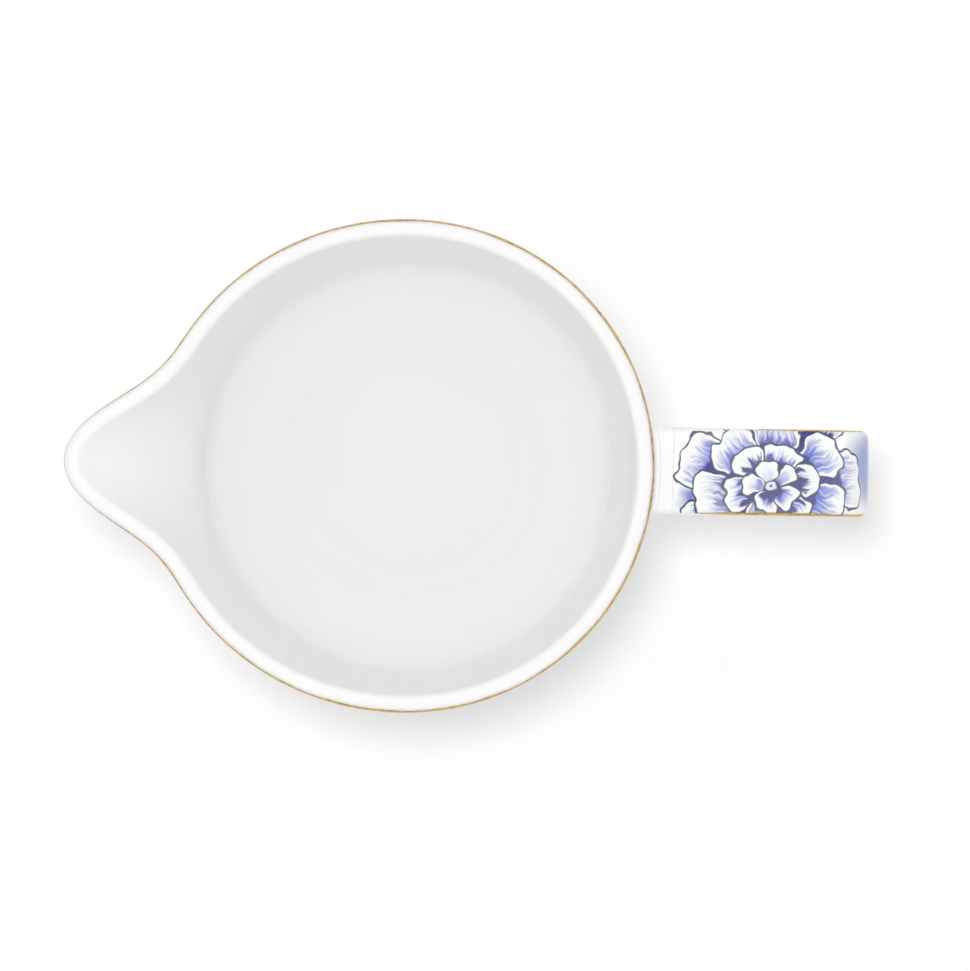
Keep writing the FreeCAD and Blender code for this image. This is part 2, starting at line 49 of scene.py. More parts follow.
RING_HEIGHT, RING_WIDTH = 1.8 * MM, 3.0 * MM
LIP_REACH, LIP_HALF_ANGLE, LIP_POWER = 15.4 * MM, math.radians(39), 6
SWELL_REACH, SWELL_HALF_ANGLE = 2.9 * MM, math.radians(98)
LIP_START, LIP_RISE, RISE_START = 6.0 * MM, 3.0 * MM, 20.0 * MM
DEPTH_POWER = 1.8    # how quickly the lip dies away below the rim
COVE = 8.0 * MM      # rounding between the floor and the bowl inside
FOOT_FILLET = 1.6 * MM
FOOT_EDGE = 0.7 * MM     # where the corner above the foot begins, below the foot's top
UNDER_START = 3.0 * MM   # the innermost row of the underside
RING_TUCK = 0.15 * MM    # how far the underside stays inside the foot's edge
RIM_CROWN = 0.85     # height of the rounded rim against half its width
AROUND = 288         # steps once round the vessel


def arc_radius(rise, out):
    """Radius of an arc that ends upright and covers this height and width."""
    return (rise**2 + out**2) / (2 * out)


BOWL_RADIUS = arc_radius(BELLY_HEIGHT - FOOT_HEIGHT, BELLY_RADIUS - FOOT_RADIUS - FOOT_FLARE)
FLARE_RADIUS = arc_radius(RIM_HEIGHT - BELLY_HEIGHT, RIM_RADIUS - BELLY_RADIUS)
RISE_RADIUS = arc_radius(RIM_RADIUS + SWELL_REACH + LIP_REACH - RISE_START, LIP_RISE)
TIP_HEIGHT = RIM_HEIGHT + LIP_RISE


def full_lip(angle):
    """How far the lip and the swelling of the rim stand out, at an angle round the axis from +X."""
    turn = np.abs(np.mod(angle, 2 * math.pi) - math.pi)
    swell = np.cos(math.pi / 2 * np.minimum(1, turn / SWELL_HALF_ANGLE)) ** 2
    lip = np.cos(math.pi / 2 * np.minimum(1, turn / LIP_HALF_ANGLE)) ** LIP_POWER
    return SWELL_REACH * swell + LIP_REACH * lip


def outside_radius(angle, z):
    """Outside of the vessel above its foot."""
    above = np.maximum(0, z - BELLY_HEIGHT)
    below = np.maximum(0, BELLY_HEIGHT - z)
    wall = FLARE_RADIUS - np.sqrt(FLARE_RADIUS**2 - above**2)
    bowl = BOWL_RADIUS - np.sqrt(BOWL_RADIUS**2 - below**2)
    start = BELLY_HEIGHT + LIP_START
    share = np.maximum(0, (z - start) / (TIP_HEIGHT - start)) ** DEPTH_POWER
    return BELLY_RADIUS + wall - bowl + full_lip(angle) * share


def outside_point(angle, z):
    radius = outside_radius(angle, z)
    return np.stack([radius * np.cos(angle), radius * np.sin(angle), z + 0 * angle], axis=-1)


def unit(vectors):
    return vectors / np.linalg.norm(vectors, axis=-1, keepdims=True)


def outside_normal(angle, z):
    step = 1e-5
    across = outside_point(angle + step, z) - outside_point(angle - step, z)
    upward = outside_point(angle, z + step) - outside_point(angle, z - step)
    return unit(np.cross(across, upward))


def rim_line(x):
    """Height of the rim, which rises on an arc towards the tip of the lip."""
    along = np.maximum(0, -x - RISE_START)
    return RIM_HEIGHT + RISE_RADIUS - np.sqrt(RISE_RADIUS**2 - along**2)


def rim_frame(angle):
    """Where the wall ends and the rounded rim begins: the middle of the wall, its outward normal, and the
    direction in which the wall runs up into the rim."""
    z = np.full_like(angle, RIM_HEIGHT - RIM_WALL / 2)
    for _ in range(8):
        point, normal = outside_point(angle, z), outside_normal(angle, z)
        along = unit(outside_point(angle + 1e-4, z) - outside_point(angle - 1e-4, z))
        upward = unit(np.cross(normal, along))
        upward *= np.sign(upward[:, 2:3])
        crest = np.hypot(normal[:, 2], RIM_CROWN * upward[:, 2])
        z = rim_line(point[:, 0]) - RIM_WALL / 2 * (crest - normal[:, 2])
    return z, point - normal * RIM_WALL / 2, normal, upward


def ring_points(angles, radii, z):
    """Level rings round the axis, one for each radius and height."""
    radii, z = np.atleast_1d(radii), np.atleast_1d(z)
    rows = []
    for radius, height in zip(radii, z):
        level = np.full_like(angles, height)
        rows.append(np.stack([radius * np.cos(angles), radius * np.sin(angles), level], axis=-1))
    return rows


def grid_mesh(name, rows, low_centre=None, high_centre=None, close_rows=False):
    """A smooth quad mesh through rows of points. A centre closes the first or last row with a fan."""
    count = len(rows[0])
    points = np.concatenate(rows)
    faces = []
    row_pairs = [(i, i + 1) for i in range(len(rows) - 1)]
    if close_rows:
        row_pairs.append((len(rows) - 1, 0))
    for low, high in row_pairs:
        for i in range(count):
            j = (i + 1) % count
            faces.append((low * count + i, low * count + j, high * count + j, high * count + i))
    for centre, row, turn in ((low_centre, 0, 1), (high_centre, len(rows) - 1, -1)):
        if centre is not None:
            points = np.vstack([points, centre])
            tip = len(points) - 1
            for i in range(count):
                edge = (row * count + i, row * count + (i + 1) % count)
                faces.append((edge[1], edge[0], tip) if turn > 0 else (edge[0], edge[1], tip))
    mesh = bpy.data.meshes.new(name)
    mesh.from_pydata([tuple(p) for p in points], [], faces)
    mesh.validate()
    mesh.shade_smooth()
    piece = bpy.data.objects.new(name, mesh)
    bpy.context.scene.collection.objects.link(piece)
    return piece


def bend(first, corner, last, steps):
    """A soft corner between two points, as radius and height."""
    t = np.linspace(0, 1, steps)[:, None]
    first, corner, last = (np.array(p) for p in (first, corner, last))
    return (1 - t) ** 2 * first + 2 * t * (1 - t) * corner + t**2 * last


angles = np.linspace(0, 2 * math.pi, AROUND, endpoint=False)
foot_top = FOOT_RADIUS + FOOT_FLARE
ring_top = FOOT_RADIUS + FOOT_FLARE * RING_HEIGHT / FOOT_HEIGHT
bowl_start = FOOT_HEIGHT + FOOT_FILLET * 0.64
vessel_rows = ring_points(angles, np.linspace(UNDER_START, ring_top - RING_TUCK, 9), np.full(9, RING_HEIGHT))
vessel_rows += ring_points(angles, [ring_top], [RING_HEIGHT + 0.8 * RING_TUCK])
start_radius = float(outside_radius(0.0, bowl_start))
corner = bend((foot_top, FOOT_HEIGHT - FOOT_EDGE), (foot_top, FOOT_HEIGHT), (start_radius, bowl_start), 7)
vessel_rows += ring_points(angles, corner[:, 0], corner[:, 1])
bowl_heights = BELLY_HEIGHT - (BELLY_HEIGHT - bowl_start) * np.cos(np.linspace(0, math.pi / 2, 30))[1:]
vessel_rows += ring_points(angles, outside_radius(0.0, bowl_heights), bowl_heights)
wall_end, rim_middle, rim_out, rim_up = rim_frame(angles)
shares = np.linspace(0, 1, 46)[1:]
outer_wall = [outside_point(angles, BELLY_HEIGHT + (wall_end - BELLY_HEIGHT) * share) for share in shares]
vessel_rows += outer_wall
for turn in np.linspace(0, math.pi, 15)[1:-1]:
    reach = rim_out * math.cos(turn) + rim_up * RIM_CROWN * math.sin(turn)
    vessel_rows.append(rim_middle + reach * RIM_WALL / 2)
for share in shares[::-1]:
    z = BELLY_HEIGHT + (wall_end - BELLY_HEIGHT) * share
    thickness = WALL + (RIM_WALL - WALL) * share**2 * (3 - 2 * share)
    vessel_rows.append(outside_point(angles, z) - outside_normal(angles, z) * thickness)
inner_bowl, bowl_centre = BOWL_RADIUS - WALL, BELLY_RADIUS - BOWL_RADIUS
floor_top = RING_HEIGHT + FLOOR
cove_rise = floor_top + COVE - BELLY_HEIGHT
cove_run = math.sqrt((inner_bowl - COVE) ** 2 - cove_rise**2)
cove_turn = math.atan2(-cove_rise, cove_run)
turns = cove_turn * np.linspace(0, 1, 44) ** 2   # close together where the bowl stands upright
inner_radii = bowl_centre + inner_bowl * np.cos(turns)
vessel_rows += ring_points(angles, inner_radii, BELLY_HEIGHT - inner_bowl * np.sin(turns))
turns = np.linspace(cove_turn, math.pi / 2, 12)[1:]
cove_radii = bowl_centre + cove_run + COVE * np.cos(turns)
vessel_rows += ring_points(angles, cove_radii, floor_top + COVE - COVE * np.sin(turns))
vessel_rows += ring_points(angles, cove_radii[-1] * np.array([0.8, 0.6, 0.4, 0.2]), np.full(4, floor_top))
vessel = grid_mesh(
    "vessel", vessel_rows, low_centre=(0, 0, RING_HEIGHT), high_centre=(0, 0, floor_top)
)
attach(vessel, "root")
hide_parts("jug_body")


def link(tree, value, socket):
    """Feeds a node's input from another node's output or from a plain value."""
    if isinstance(value, bpy.types.NodeSocket):
        tree.links.new(value, socket)
    else:
        socket.default_value = value


def node(tree, kind, inputs=None, output=0, **settings):
    """Adds a node with its settings and inputs, and gives back one of its outputs."""
    made = tree.nodes.new(kind)
    for name, value in settings.items():
        setattr(made, name, value)
    for name, value in (inputs or {}).items():
        link(tree, value, made.inputs[name])
    return made.outputs[output]


def calc(tree, operation, *values, clamp=False):
    return node(tree, "ShaderNodeMath", dict(enumerate(values)), operation=operation, use_clamp=clamp)


def between(tree, value, low, high, to_low=0.0, to_high=1.0):
    """Eases a value from one range to another and holds it at both ends."""
    inputs = {"Value": value, "From Min": low, "From Max": high, "To Min": to_low, "To Max": to_high}
    return node(tree, "ShaderNodeMapRange", inputs, interpolation_type="SMOOTHSTEP")


def tint(tree, share, first, second, blend="MIX"):
    """Mixes two colours by a share."""
    made = tree.nodes.new("ShaderNodeMix")
    made.data_type = "RGBA"
    made.blend_type = blend
    link(tree, share, made.inputs[0])
    link(tree, first, made.inputs[6])
    link(tree, second, made.inputs[7])
    return made.outputs[2]


def new_group(name, inputs, outputs):
    """A node group with named sockets. Returns its tree and the sockets of its input node by name."""
    tree = bpy.data.node_groups.new(name, "ShaderNodeTree")
    for label, kind, value in inputs:
        socket = tree.interface.new_socket(label, in_out="INPUT", socket_type=f"NodeSocket{kind}")
        if value is not None:
            socket.default_value = value
    for label, kind in outputs:
        tree.interface.new_socket(label, in_out="OUTPUT", socket_type=f"NodeSocket{kind}")
    entry = tree.nodes.new("NodeGroupInput")
    return tree, {socket.name: socket for socket in entry.outputs if socket.name}


def close_group(tree, results):
    leave = tree.nodes.new("NodeGroupOutput")
    for name, value in results.items():
        link(tree, value, leave.inputs[name])


def use_group(tree, group, inputs=None):
    made = tree.nodes.new("ShaderNodeGroup")
    made.node_tree = group
    for name, value in (inputs or {}).items():
        link(tree, value, made.inputs[name])
    return made.outputs


def new_material(name, roughness, **constants):
    """A material with its Principled shader; constants are plain values on the shader's own sockets."""
    material = bpy.data.materials.new(name)
    material.use_nodes = True
    tree = material.node_tree
    shader = tree.nodes["Principled BSDF"]
    shader.inputs["Roughness"].default_value = roughness
    for label, value in constants.items():
        shader.inputs[label.replace("_", " ")].default_value = value
    return material, tree, shader


def add_bump(tree, shader, height, distance):
    bump = node(tree, "ShaderNodeBump", {"Height": height, "Distance": distance}, "Normal")
    link(tree, bump, shader.inputs["Normal"])


def srgb(red, green, blue):
    """A colour from its ordinary 0 to 255 values."""
    parts = [channel / 255 for channel in (red, green, blue)]
    return tuple(((c + 0.055) / 1.055) ** 2.4 if c > 0.04045 else c / 12.92 for c in parts) + (1.0,)


# The clear glaze over white porcelain: a faint ripple, a cooler tint where it runs thick, and a few specks.
tree, given = new_group(
    "glaze_over_porcelain",
    [("Body", "Color", srgb(253, 253, 252)), ("Thick Glaze", "Color", srgb(242, 245, 247)),
     ("Thick", "Float", 0.0)],
    [("Color", "Color"), ("Roughness", "Float"), ("Height", "Float")],
)
place = node(tree, "ShaderNodeTexCoord", output="Object")
cloud = node(tree, "ShaderNodeTexNoise", {"Vector": place, "Scale": 38.0, "Detail": 3.0})
ripple = node(tree, "ShaderNodeTexNoise", {"Vector": place, "Scale": 130.0, "Detail": 1.0})
peel = node(tree, "ShaderNodeTexNoise", {"Vector": place, "Scale": 900.0, "Detail": 2.0})
pooled = calc(tree, "ADD", given["Thick"], between(tree, cloud, 0.35, 0.75, 0.0, 0.16), clamp=True)
colour = tint(tree, pooled, given["Body"], given["Thick Glaze"])
cells = node(tree, "ShaderNodeTexVoronoi", {"Vector": place, "Scale": 150.0}, "Distance")
lot = node(tree, "ShaderNodeTexVoronoi", {"Vector": place, "Scale": 150.0}, "Color")
rare = calc(tree, "GREATER_THAN", node(tree, "ShaderNodeSeparateColor", {"Color": lot}), 0.975)
dot = calc(tree, "MULTIPLY", between(tree, cells, 0.018, 0.034, 1.0, 0.0), rare)
dot = calc(tree, "MULTIPLY", dot, 0.55)
colour = tint(tree, dot, colour, srgb(150, 132, 112))
height = calc(tree, "ADD", ripple, calc(tree, "MULTIPLY", peel, 0.12))
close_group(tree, {
    "Color": colour,
    "Roughness": between(tree, ripple, 0.3, 0.7, 0.055, 0.095),
    "Height": calc(tree, "SUBTRACT", height, calc(tree, "MULTIPLY", dot, 0.6)),
})
glaze_group = tree


def glazed(name, thick=0.0, dulled=None, translucent=0.0):
    """Glazed porcelain. thick and dulled may be functions that give a mask in the material's own tree."""
    material, tree, shader = new_material(name, 0.08, IOR=1.52)
    mask = thick(tree) if callable(thick) else thick
    surface = use_group(tree, glaze_group, {"Thick": mask})
    link(tree, surface["Color"], shader.inputs["Base Color"])
    shader.inputs["Subsurface Weight"].default_value = translucent
    shader.inputs["Subsurface Radius"].default_value = (3.0, 3.0, 3.0)
    shader.inputs["Subsurface Scale"].default_value = MM
    roughness = surface["Roughness"]
    if dulled:
        roughness = calc(tree, "ADD", roughness, calc(tree, "MULTIPLY", dulled(tree), 0.42))
    link(tree, roughness, shader.inputs["Roughness"])
    add_bump(tree, shader, surface["Height"], 0.000012)
    return material


def pooled_low(tree):
    """Glaze gathers in the corner above the foot and round the edge of the floor inside."""
    spot = node(tree, "ShaderNodeTexCoord", output="Object")
    height = node(tree, "ShaderNodeSeparateXYZ", {"Vector": spot}, "Z")
    off_foot = calc(tree, "ABSOLUTE", calc(tree, "SUBTRACT", height, 0.0036))
    off_floor = calc(tree, "ABSOLUTE", calc(tree, "SUBTRACT", height, 0.0066))
    foot = between(tree, off_foot, 0.0, 0.0016, 0.55, 0.0)
    floor_edge = between(tree, off_floor, 0.0, 0.003, 0.25, 0.0)
    return calc(tree, "ADD", foot, floor_edge, clamp=True)


def dulled_inside(tree):
    """Years of stirring and washing have taken the sharp shine off the upright wall inside."""
    spot = node(tree, "ShaderNodeTexCoord", output="Object")
    facing = node(tree, "ShaderNodeTexCoord", output="Normal")
    height = node(tree, "ShaderNodeSeparateXYZ", {"Vector": spot}, "Z")
    level = node(tree, "ShaderNodeVectorMath", {0: spot, 1: (1.0, 1.0, 0.0)}, operation="MULTIPLY")
    outward = node(tree, "ShaderNodeVectorMath", {0: level}, operation="NORMALIZE")
    turned_out = node(tree, "ShaderNodeVectorMath", {0: outward, 1: facing}, "Value", operation="DOT_PRODUCT")
    inside = between(tree, turned_out, -0.8, -0.4, 1.0, 0.0)
    upright = between(tree, height, 0.024, 0.034)
    return calc(tree, "MULTIPLY", inside, upright)


vessel.data.materials.append(glazed("glazed_vessel", pooled_low, dulled_inside, 0.6))

# ---------------------------------------------------------------------------------------------------
# The foot ring. The same porcelain with the glaze wiped off before firing and the edge rubbed flat, so it
# is matt, slightly warm and a little grey where it has stood on tables.
# ---------------------------------------------------------------------------------------------------
RING_ROUND = 0.5 * MM
ring_inner = FOOT_RADIUS - RING_WIDTH
quarter = np.linspace(0, math.pi / 2, 7)
inward, upward = RING_ROUND * (1 - np.cos(quarter)), RING_ROUND * (1 - np.sin(quarter))
inner_round = list(zip(ring_inner + inward, upward))
outer_round = list(zip(FOOT_RADIUS - upward, inward))
ring_outline = np.array([(ring_inner, RING_HEIGHT), *inner_round, *outer_round, (ring_top, RING_HEIGHT)])
ring_rows = ring_points(angles, ring_outline[:, 0], ring_outline[:, 1])
foot = grid_mesh("foot_ring_bare", ring_rows, close_rows=True)

bisque, tree, shader = new_material("bare_porcelain", 0.8)
place = node(tree, "ShaderNodeTexCoord", output="Object")
grain = node(tree, "ShaderNodeTexNoise", {"Vector": place, "Scale": 2600.0, "Detail": 3.0})
stain = node(tree, "ShaderNodeTexNoise", {"Vector": place, "Scale": 160.0, "Detail": 4.0})
reach = node(tree, "ShaderNodeVectorMath", {0: place}, "Value", operation="LENGTH")
turned = calc(tree, "SINE", calc(tree, "MULTIPLY", reach, 2 * math.pi / 0.00035))
low = between(tree, node(tree, "ShaderNodeSeparateXYZ", {"Vector": place}, "Z"), 0.0, 0.0005, 1.0, 0.0)
worn = calc(tree, "MULTIPLY", low, between(tree, stain, 0.35, 0.7))
clay = tint(tree, between(tree, grain, 0.3, 0.7), srgb(232, 227, 216), srgb(240, 236, 228))
dirty = tint(tree, calc(tree, "MULTIPLY", worn, 0.5), clay, srgb(176, 170, 160))
link(tree, dirty, shader.inputs["Base Color"])
link(tree, between(tree, stain, 0.3, 0.7, 0.7, 0.88), shader.inputs["Roughness"])
add_bump(tree, shader, calc(tree, "ADD", grain, calc(tree, "MULTIPLY", turned, 0.25)), 0.00004)
foot.data.materials.append(bisque)
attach(foot, "root")
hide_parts("foot_ring")

# ---------------------------------------------------------------------------------------------------
# The strap handle. Moulded by itself as a flat strap with soft edges, bent square at the top and in a
# long sweep at the bottom, and glazed with the vessel. Both ends run a little way into the wall here.
# ---------------------------------------------------------------------------------------------------
STRAP_WIDTH, STRAP_THICK, STRAP_EDGE = 14.8 * MM, 4.2 * MM, 1.6 * MM
HANDLE_REACH, HANDLE_DROP = 36.6 * MM, 8.6 * MM
BEND, SWEEP = 5.4 * MM, 17.0 * MM
LEAN, TAIL_SLOPE, TAIL_HEIGHT = math.radians(13), math.radians(12), 23.2 * MM
STRAP_CROWN = 0.12 * MM
SUNK = 1.4 * MM      # how far the strap's ends run into the wall
TAIL_MEETS = 27.0 * MM   # about where the tail's middle line reaches the wall
STATION = 0.6 * MM   # distance between two cross-sections

strap_level = RIM_HEIGHT - HANDLE_DROP
bend_middle = np.array([RIM_RADIUS + HANDLE_REACH - STRAP_THICK / 2 - BEND, strap_level - BEND])
face_out = np.array([math.cos(LEAN), -math.sin(LEAN)])
down = np.array([-math.sin(LEAN), -math.cos(LEAN)])
face_under = np.array([math.sin(TAIL_SLOPE), -math.cos(TAIL_SLOPE)])
back_in = np.array([-math.cos(TAIL_SLOPE), -math.sin(TAIL_SLOPE)])
gap = np.array([FOOT_RADIUS, TAIL_HEIGHT]) - (bend_middle + face_out * (BEND - SWEEP) + face_under * SWEEP)
run = (gap[0] * back_in[1] - gap[1] * back_in[0]) / (down[0] * back_in[1] - down[1] * back_in[0])
sweep_middle = bend_middle + face_out * (BEND - SWEEP) + down * run
wall_at_top = float(outside_radius(0.0, np.array(strap_level)))
tail_start = sweep_middle + face_under * SWEEP
wall_at_tail = float(outside_radius(0.0, np.array(TAIL_MEETS)))
tail_length = (tail_start[0] - (wall_at_tail - SUNK)) / math.cos(TAIL_SLOPE)
strap_start = wall_at_top - SUNK
RUNS = [
    ("level", bend_middle[0] - strap_start),
    ("bend", BEND * (math.pi / 2 + LEAN)),
    ("down", run),
    ("sweep", SWEEP * (math.pi / 2 - LEAN - TAIL_SLOPE)),
    ("tail", tail_length),
]
STRAP_LENGTH = sum(length for _, length in RUNS)


def strap_place(travel):
    """The strap's middle line: point and outward normal in the XZ plane, after a distance along it."""
    left = travel
    for name, length in RUNS:
        if left <= length or name == "tail":
            break
        left -= length
    if name == "level":
        return np.array([strap_start + left, strap_level]), np.array([0.0, 1.0])
    if name == "bend":
        turn = math.pi / 2 - left / BEND
        normal = np.array([math.cos(turn), math.sin(turn)])
        return bend_middle + normal * BEND, normal
    if name == "down":
        return bend_middle + face_out * BEND + down * left, face_out
    if name == "sweep":
        turn = -LEAN - left / SWEEP
        normal = np.array([math.cos(turn), math.sin(turn)])
        return sweep_middle + normal * SWEEP, normal
    return tail_start + back_in * left, face_under


def strap_outline(grow=0.0, corner_steps=8, face_steps=12):
    """The strap's cross-section as distances across and outwards, counter-clockwise from the lower face."""
    half_w, half_t, edge = STRAP_WIDTH / 2, STRAP_THICK / 2, STRAP_EDGE
    flat = half_w - edge
    points = []
    for middle, first in (((flat, -half_t + edge), -90), ((flat, half_t - edge), 0),
                          ((-flat, half_t - edge), 90), ((-flat, -half_t + edge), 180)):
        for step in range(corner_steps + 1):
            turn, reach = math.radians(first + 90 * step / corner_steps), edge + grow
            points.append((middle[0] + reach * math.cos(turn), middle[1] + reach * math.sin(turn)))
        if first == 0:
            for step in range(1, face_steps):
                y = flat * (1 - 2 * step / face_steps)
                points.append((y, half_t + grow + STRAP_CROWN * (1 - (y / flat) ** 2)))
        if first == 180:
            for step in range(1, face_steps):
                points.append((-flat + 2 * flat * step / face_steps, -half_t - grow))
    return np.array(points)


def on_strap(travel, outline):
    """A cross-section's points in space, after a distance along the strap."""
    middle, normal = strap_place(travel)
    spot = np.zeros((len(outline), 3))
    spot[:, 0] = middle[0] + normal[0] * outline[:, 1]
    spot[:, 1] = outline[:, 0]
    spot[:, 2] = middle[1] + normal[1] * outline[:, 1]
    return spot


outline = strap_outline()
stations = np.linspace(0, STRAP_LENGTH, int(STRAP_LENGTH / STATION))
strap_rows = [on_strap(travel, outline) for travel in stations]
strap = grid_mesh(
    "strap", strap_rows, low_centre=strap_rows[0].mean(axis=0), high_centre=strap_rows[-1].mean(axis=0)
)
strap.data.materials.append(glazed("glazed_strap"))
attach(strap, "root")
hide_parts("handle")

# ---------------------------------------------------------------------------------------------------
# The luting. Where each end of the strap meets the wall, a bead of slip is wiped into a hollow fillet
# all the way round; the glaze runs a little thicker in it.
# ---------------------------------------------------------------------------------------------------
FILLET = 1.8 * MM
FILLET_STEPS = 10
BURIED = 0.4 * MM    # how far the back of the fillet lies inside the strap and the wall
STAND_OFF = 8 * MM   # how far from the strap's end the lines that seek the wall start
SEEK = 20 * MM       # how far they look


def wall_hit(points, direction):
    """Where lines from points, along a direction, first meet the outside of the vessel."""
    near, far = np.zeros(len(points)), np.full(len(points), SEEK)
    for _ in range(40):
        middle = (near + far) / 2
        spot = points + direction * middle[:, None]
        wall = outside_radius(np.arctan2(spot[:, 1], spot[:, 0]), spot[:, 2])
        reached = np.hypot(spot[:, 0], spot[:, 1]) < wall
        near, far = np.where(reached, near, middle), np.where(reached, middle, far)
    return points + direction * far[:, None]


def make_luting(name, cad_node, travel, inward):
    """A ring that is tangent to the strap on one side and to the wall on the other."""
    on_face = on_strap(travel, strap_outline())
    stood_off = on_strap(travel, strap_outline(FILLET))
    away = unit(stood_off - on_face)
    corner = wall_hit(on_face, inward)
    on_wall = wall_hit(stood_off, inward)
    on_side = corner - inward * FILLET
    rows = []
    for step in range(FILLET_STEPS + 1):
        turn = math.pi / 2 * step / FILLET_STEPS
        rows.append(
            corner + (on_side - corner) * (1 - math.sin(turn)) + (on_wall - corner) * (1 - math.cos(turn))
        )
    rows.append(on_wall + inward * BURIED)
    rows.append(corner + inward * BURIED - away * BURIED)
    rows.append(on_side - away * BURIED)
    ring = grid_mesh(name, rows, close_rows=True)
    ring.data.materials.append(luting_glaze)
    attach(ring, "root")
    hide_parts(cad_node)


luting_glaze = glazed("glazed_luting", 0.22)
make_luting("slip_fillet_upper", "upper_luting", STAND_OFF, np.array([-1.0, 0.0, 0.0]))
tail_way = np.array([back_in[0], 0.0, back_in[1]])
make_luting("slip_fillet_lower", "lower_luting", STRAP_LENGTH - STAND_OFF, tail_way)

# ---------------------------------------------------------------------------------------------------
# The gilding. Liquid bright gold brushed on by hand over the fired glaze, on the rim's outer shoulder and
# along both edges of the strap, and fired again. The line's width follows the painter's hand.
# ---------------------------------------------------------------------------------------------------
RIM_LINE_START, RIM_LINE_TURN = math.radians(4), math.radians(46)   # the gold's edges on the rounded rim
GOLD_LIFT, GOLD_SUNK = 0.03 * MM, 0.06 * MM
rng = np.random.default_rng(7)


def brushed(way, waves, strength):
    """An uneven hand along a line, as a factor near 1."""
    total = np.ones_like(way)
    for wave in waves:
        total += strength / math.sqrt(len(waves)) * np.sin(wave * way + rng.uniform(0, 2 * math.pi))
    return total


gold, tree, shader = new_material("fired_gold", 0.25)
place = node(tree, "ShaderNodeTexCoord", output="Object")
streak = node(tree, "ShaderNodeTexNoise", {"Vector": place, "Scale": 900.0, "Detail": 4.0})
blotch = node(tree, "ShaderNodeTexNoise", {"Vector": place, "Scale": 210.0, "Detail": 2.0})
rich = tint(tree, between(tree, streak, 0.3, 0.7), srgb(190, 152, 84), srgb(222, 188, 116))
thin = between(tree, blotch, 0.52, 0.72)
worn_gold = tint(tree, calc(tree, "MULTIPLY", thin, 0.5), rich, srgb(206, 190, 152))
link(tree, worn_gold, shader.inputs["Base Color"])
link(tree, calc(tree, "SUBTRACT", 0.92, calc(tree, "MULTIPLY", thin, 0.3)), shader.inputs["Metallic"])
link(tree, between(tree, streak, 0.3, 0.75, 0.2, 0.42), shader.inputs["Roughness"])
add_bump(tree, shader, streak, 0.00001)

upper_edge = RIM_LINE_TURN * brushed(angles, (5, 13, 29), 0.07)
lower_edge = RIM_LINE_START * brushed(angles, (7, 17), 0.4)
gold_rows = []
line_section = [(0, -GOLD_SUNK), (0.03, GOLD_LIFT * 0.6)]
line_section += [(share, GOLD_LIFT) for share in (0.15, 0.4, 0.65, 0.87)]
line_section += [(0.98, GOLD_LIFT * 0.6), (1, -GOLD_SUNK), (0.5, -GOLD_SUNK * 2)]
for share, lift in line_section:
    turn = (lower_edge + (upper_edge - lower_edge) * share)[:, None]
    reach = rim_out * np.cos(turn) + rim_up * RIM_CROWN * np.sin(turn)
    face = unit(rim_out * np.cos(turn) * RIM_CROWN + rim_up * np.sin(turn))
    gold_rows.append(rim_middle + reach * RIM_WALL / 2 + face * lift)
rim_gold = grid_mesh("rim_gold_line", gold_rows, close_rows=True)
rim_gold.data.materials.append(gold)
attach(rim_gold, "root")
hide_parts("rim_gilding")

BARE = 3.0 * MM      # bare porcelain between the vessel and the strap's decoration
LINE_LATE = 4.5 * MM   # how much further out the gold starts
LEFT_LATE = 10 * MM    # and how much further still on the left edge
TAIL_BARE = 9 * MM     # strap without decoration at the lower end
LINE_LOW = math.radians(8)                    # the line's lower edge on the strap's rounded edge
BRUSH_TIP, BRUSH_TAPER = 0.3 * MM, 5.0 * MM   # how a line thins out at both ends
travel_first = RIM_RADIUS + BARE + LINE_LATE - strap_start
travel_last = STRAP_LENGTH - TAIL_BARE


def make_strap_gold(name, cad_node, side, high_turn, first):
    """A brushed line along one rounded edge of the strap's outer face; side is +1 or -1 along Y."""
    travels = np.linspace(first, travel_last, 170)
    width = brushed(travels / MM, (0.35, 0.9, 2.1), 0.18)
    from_end = np.minimum(travels - first, travel_last - travels) + BRUSH_TIP
    width *= np.minimum(1, from_end / BRUSH_TAPER) ** 0.5
    middle = np.array([STRAP_WIDTH / 2 - STRAP_EDGE, STRAP_THICK / 2 - STRAP_EDGE])
    rows = []
    for travel, share in zip(travels, width):
        centre, half = (LINE_LOW + high_turn) / 2, (high_turn - LINE_LOW) / 2 * share
        section = []
        for step in np.linspace(-1, 1, 7):
            lift = GOLD_LIFT if abs(step) < 0.9 else -GOLD_SUNK
            section.append((centre + half * step, STRAP_EDGE + lift))
        section.append((centre, STRAP_EDGE - 2 * GOLD_SUNK))
        turned = [(middle[0] + r * math.cos(a), middle[1] + r * math.sin(a)) for a, r in section]
        profile = np.array([(y * side, out) for y, out in turned][::side])
        rows.append(on_strap(travel, profile))
    line = grid_mesh(name, rows, low_centre=rows[0].mean(axis=0), high_centre=rows[-1].mean(axis=0))
    line.data.materials.append(gold)
    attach(line, "root")
    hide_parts(cad_node)


right_turn, left_turn = math.radians(54), math.radians(38)
make_strap_gold("strap_gold_right", "handle_gilding_right", -1, right_turn, travel_first)
make_strap_gold("strap_gold_left", "handle_gilding_left", 1, left_turn, travel_first + LEFT_LATE)

# ---------------------------------------------------------------------------------------------------
# The print. A peony in cobalt blue, printed on tissue and rubbed down on the strap's outer face under the
# glaze: navy outlines, blue washes that run out from each petal's root, and white petal edges.
# ---------------------------------------------------------------------------------------------------
PRINT_LIFT = 0.02 * MM
PRINT_ROUND = math.radians(28)   # where the print ends on the strap's rounded edges
PRINT_START = RIM_RADIUS + BARE - strap_start
WHITE, PALE = srgb(250, 251, 248), srgb(196, 200, 232)
BLUE, COBALT, NAVY = srgb(80, 100, 206), srgb(8, 4, 122), srgb(18, 14, 84)


